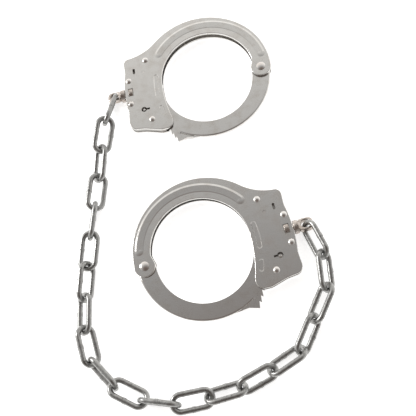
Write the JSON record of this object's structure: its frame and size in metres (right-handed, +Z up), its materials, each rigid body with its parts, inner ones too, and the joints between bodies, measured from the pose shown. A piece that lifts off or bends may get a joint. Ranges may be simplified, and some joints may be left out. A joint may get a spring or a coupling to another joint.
{
  "type": "restraint cuffs on a chain",
  "caption": "Leg-size double-lock restraint cuffs joined by a long welded chain, with swinging single strands, pawls, double-lock bolts and swivels.",
  "frame": {"origin": "middle of the bounding box, on the surface the set lies on", "axes": "+Z up off the surface; both cuffs lie flat; +Y from the right cuff's side of the chain loop to the left cuff; +X from the left cuff's chain run to the right cuff"},
  "size_m": [0.1927, 0.3182, 0.0192],
  "materials": {
    "nickel_plate": "satin nickel plate",
    "bow_steel": "polished nickel plate",
    "rivet_steel": "polished rivet heads",
    "lock_steel": "machined steel",
    "spring_steel": "blued spring",
    "swivel_steel": "worn nickel plate",
    "chain_steel": "dull zinc plate"
  },
  "bodies": {
    "left_case": {"left_cuff_front_cheek": "nickel_plate", "left_cuff_back_cheek": "nickel_plate", "left_cuff_lock_frame": "lock_steel", "left_cuff_pivot_rivet": "rivet_steel", "left_cuff_case_rivets": "rivet_steel", "left_cuff_key_post": "rivet_steel", "left_cuff_pawl_pin": "rivet_steel", "left_cuff_pawl_spring": "spring_steel", "left_cuff_bolt_spring": "spring_steel"},
    "left_bow": {"left_cuff_bow": "bow_steel"},
    "left_pawl": {"left_cuff_pawl": "lock_steel"},
    "left_bolt": {"left_cuff_double_lock_bolt": "lock_steel"},
    "left_swivel": {"left_cuff_swivel": "swivel_steel"},
    "right_case": {"right_cuff_front_cheek": "nickel_plate", "right_cuff_back_cheek": "nickel_plate", "right_cuff_lock_frame": "lock_steel", "right_cuff_pivot_rivet": "rivet_steel", "right_cuff_case_rivets": "rivet_steel", "right_cuff_key_post": "rivet_steel", "right_cuff_pawl_pin": "rivet_steel", "right_cuff_pawl_spring": "spring_steel", "right_cuff_bolt_spring": "spring_steel"},
    "right_bow": {"right_cuff_bow": "bow_steel"},
    "right_pawl": {"right_cuff_pawl": "lock_steel"},
    "right_bolt": {"right_cuff_double_lock_bolt": "lock_steel"},
    "right_swivel": {"right_cuff_swivel": "swivel_steel"},
    "chain_link_01": {"chain_link_01": "chain_steel"},
    "chain_link_02": {"chain_link_02": "chain_steel"},
    "chain_link_03": {"chain_link_03": "chain_steel"},
    "chain_link_04": {"chain_link_04": "chain_steel"},
    "chain_link_05": {"chain_link_05": "chain_steel"},
    "chain_link_06": {"chain_link_06": "chain_steel"},
    "chain_link_07": {"chain_link_07": "chain_steel"},
    "chain_link_08": {"chain_link_08": "chain_steel"},
    "chain_link_09": {"chain_link_09": "chain_steel"},
    "chain_link_10": {"chain_link_10": "chain_steel"},
    "chain_link_11": {"chain_link_11": "chain_steel"},
    "chain_link_12": {"chain_link_12": "chain_steel"},
    "chain_link_13": {"chain_link_13": "chain_steel"},
    "chain_link_14": {"chain_link_14": "chain_steel"},
    "chain_link_15": {"chain_link_15": "chain_steel"},
    "chain_link_16": {"chain_link_16": "chain_steel"},
    "chain_link_17": {"chain_link_17": "chain_steel"},
    "chain_link_18": {"chain_link_18": "chain_steel"},
    "chain_link_19": {"chain_link_19": "chain_steel"},
    "chain_link_20": {"chain_link_20": "chain_steel"}
  },
  "joints": [
    {"name": "left_bow_swing", "type": "hinge", "parent": "left_case", "child": "left_bow", "pos_m": [0.04913, 0.10805, 0.0052], "axis": [0, 0, 1], "continuous": true},
    {"name": "left_pawl_turn", "type": "hinge", "parent": "left_case", "child": "left_pawl", "pos_m": [-0.04934, 0.11072, 0.0052], "axis": [0, 0, 1], "range_deg": [0, 7.5]},
    {"name": "left_bolt_slide", "type": "slide", "parent": "left_case", "child": "left_bolt", "axis": [0.1418, -0.9899, 0], "range_m": [0, 0.0022]},
    {"name": "left_swivel_spin", "type": "hinge", "parent": "left_case", "child": "left_swivel", "pos_m": [-0.05946, 0.0925, 0.0052], "axis": [0.9899, 0.1418, 0], "continuous": true},
    {"name": "link_01_swing", "type": "hinge", "parent": "left_swivel", "child": "chain_link_01", "pos_m": [-0.07363, 0.09104, 0.00581], "axis": [0, 0, 1], "range_deg": [-5, 12]},
    {"name": "link_02_swing", "type": "hinge", "parent": "chain_link_01", "child": "chain_link_02", "pos_m": [-0.07823, 0.0662, 0.01276], "axis": [0, 0, -1], "range_deg": [-9, 8]},
    {"name": "link_03_swing", "type": "hinge", "parent": "chain_link_02", "child": "chain_link_03", "pos_m": [-0.08163, 0.04259, 0.01006], "axis": [0, 0, 1], "range_deg": [-12, 5]},
    {"name": "link_04_swing", "type": "hinge", "parent": "chain_link_03", "child": "chain_link_04", "pos_m": [-0.08362, 0.01892, 0.00664], "axis": [0, 0, -1], "range_deg": [-11, 12]},
    {"name": "link_05_swing", "type": "hinge", "parent": "chain_link_04", "child": "chain_link_05", "pos_m": [-0.08512, -0.00502, 0.00746], "axis": [0, 0, 1], "range_deg": [-12, 12]},
    {"name": "link_06_swing", "type": "hinge", "parent": "chain_link_05", "child": "chain_link_06", "pos_m": [-0.08688, -0.02895, 0.00785], "axis": [0, 0, -1], "range_deg": [-6, 6]},
    {"name": "link_07_swing", "type": "hinge", "parent": "chain_link_06", "child": "chain_link_07", "pos_m": [-0.08805, -0.05291, 0.00736], "axis": [0, 0, 1], "range_deg": [-10, 8]},
    {"name": "link_08_swing", "type": "hinge", "parent": "chain_link_07", "child": "chain_link_08", "pos_m": [-0.08847, -0.07691, 0.00754], "axis": [0, 0, -1], "range_deg": [-12, 12]},
    {"name": "link_09_swing", "type": "hinge", "parent": "chain_link_08", "child": "chain_link_09", "pos_m": [-0.08709, -0.10087, 0.0076], "axis": [0, 0, 1], "range_deg": [-12, 6]},
    {"name": "link_10_swing", "type": "hinge", "parent": "chain_link_09", "child": "chain_link_10", "pos_m": [-0.07984, -0.12374, 0.00719], "axis": [0, 0, -1], "range_deg": [-1, 12]},
    {"name": "link_11_swing", "type": "hinge", "parent": "chain_link_10", "child": "chain_link_11", "pos_m": [-0.06229, -0.14005, 0.00863], "axis": [0, 0, 1], "range_deg": [-12, 3]},
    {"name": "link_12_swing", "type": "hinge", "parent": "chain_link_11", "child": "chain_link_12", "pos_m": [-0.04045, -0.14996, 0.00764], "axis": [0, 0, -1], "range_deg": [-4, 12]},
    {"name": "link_13_swing", "type": "hinge", "parent": "chain_link_12", "child": "chain_link_13", "pos_m": [-0.01674, -0.15199, 0.01079], "axis": [0, 0, 1], "range_deg": [-6, 4]},
    {"name": "link_14_swing", "type": "hinge", "parent": "chain_link_13", "child": "chain_link_14", "pos_m": [0.00646, -0.14727, 0.00685], "axis": [0, 0, -1], "range_deg": [-4, 6]},
    {"name": "link_15_swing", "type": "hinge", "parent": "chain_link_14", "child": "chain_link_15", "pos_m": [0.02956, -0.14078, 0.00694], "axis": [0, 0, 1], "range_deg": [-12, 12]},
    {"name": "link_16_swing", "type": "hinge", "parent": "chain_link_15", "child": "chain_link_16", "pos_m": [0.05061, -0.12925, 0.00686], "axis": [0, 0, -1], "range_deg": [-12, 12]},
    {"name": "link_17_swing", "type": "hinge", "parent": "chain_link_16", "child": "chain_link_17", "pos_m": [0.07079, -0.11625, 0.00698], "axis": [0, 0, 1], "range_deg": [-12, 0]},
    {"name": "link_18_swing", "type": "hinge", "parent": "chain_link_17", "child": "chain_link_18", "pos_m": [0.08097, -0.09452, 0.00719], "axis": [0, 0, -1], "range_deg": [-12, 12]},
    {"name": "link_19_swing", "type": "hinge", "parent": "chain_link_18", "child": "chain_link_19", "pos_m": [0.09118, -0.07281, 0.00802], "axis": [0, 0, 1], "range_deg": [-12, 1]},
    {"name": "link_20_swing", "type": "hinge", "parent": "chain_link_19", "child": "chain_link_20", "pos_m": [0.08951, -0.04889, 0.00896], "axis": [0, 0, -1], "range_deg": [-2, 12]},
    {"name": "right_swivel_swing", "type": "hinge", "parent": "chain_link_20", "child": "right_swivel", "pos_m": [0.07882, -0.02511, 0.00641], "axis": [0, 0, 1], "range_deg": [-12, 5]},
    {"name": "right_case_spin", "type": "hinge", "parent": "right_swivel", "child": "right_case", "pos_m": [0.06416, -0.02895, 0.0052], "axis": [-0.9724, -0.2334, 0], "continuous": true},
    {"name": "right_bow_swing", "type": "hinge", "parent": "right_case", "child": "right_bow", "pos_m": [-0.04251, -0.05456, 0.0052], "axis": [0, 0, -1], "range_deg": [-88, 60]},
    {"name": "right_pawl_turn", "type": "hinge", "parent": "right_case", "child": "right_pawl", "pos_m": [0.04803, -0.01575, 0.0052], "axis": [0, 0, -1], "range_deg": [0, 7.5]},
    {"name": "right_bolt_slide", "type": "slide", "parent": "right_case", "child": "right_bolt", "axis": [0.2334, -0.9724, 0], "range_m": [0, 0.0022]}
  ]
}
